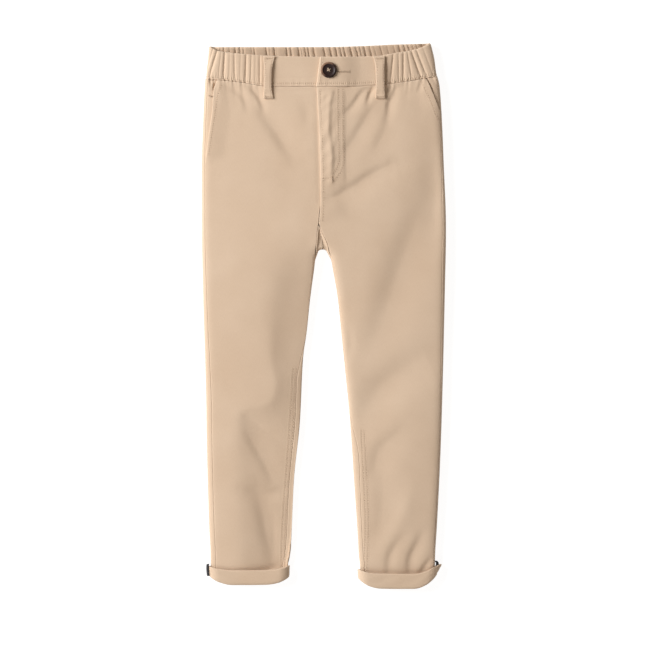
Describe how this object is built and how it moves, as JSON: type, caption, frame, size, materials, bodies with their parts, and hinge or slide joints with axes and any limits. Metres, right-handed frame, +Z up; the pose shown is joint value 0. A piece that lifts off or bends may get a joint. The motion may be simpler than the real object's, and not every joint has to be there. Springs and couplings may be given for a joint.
{
  "type": "child's chino trousers, laid flat",
  "caption": "Child's tapered chino trousers laid flat, with a part elastic gathered waistband, button front, slanted pockets and turned-up hems.",
  "frame": {"origin": "centre of the garment's box, on the surface it lies on", "axes": "+Y to the waist, -Y to the hems, +X to the wearer's left side, +Z up out of the front"},
  "size_m": [0.2675, 0.6, 0.0217],
  "materials": {
    "twill": "fine sand-coloured cotton twill, matt with a slight nap",
    "gathered_band": "the same twill gathered over elastic",
    "tape": "black woven tape",
    "button": "dark brown, mottled like horn, half gloss"
  },
  "bodies": {
    "root": {"front_left": "twill", "back_left": "twill", "pocket_facing_left": "twill", "belt_loop_left": "twill", "turn_up_left": "twill", "turn_up_tape_left": "tape", "front_right": "twill", "back_right": "twill", "pocket_facing_right": "twill", "belt_loop_right": "twill", "turn_up_right": "twill", "turn_up_tape_right": "tape", "waistband_front_left": "twill", "waistband_front_right": "twill", "waistband_elastic": "gathered_band", "button": "button"}
  },
  "joints": []
}
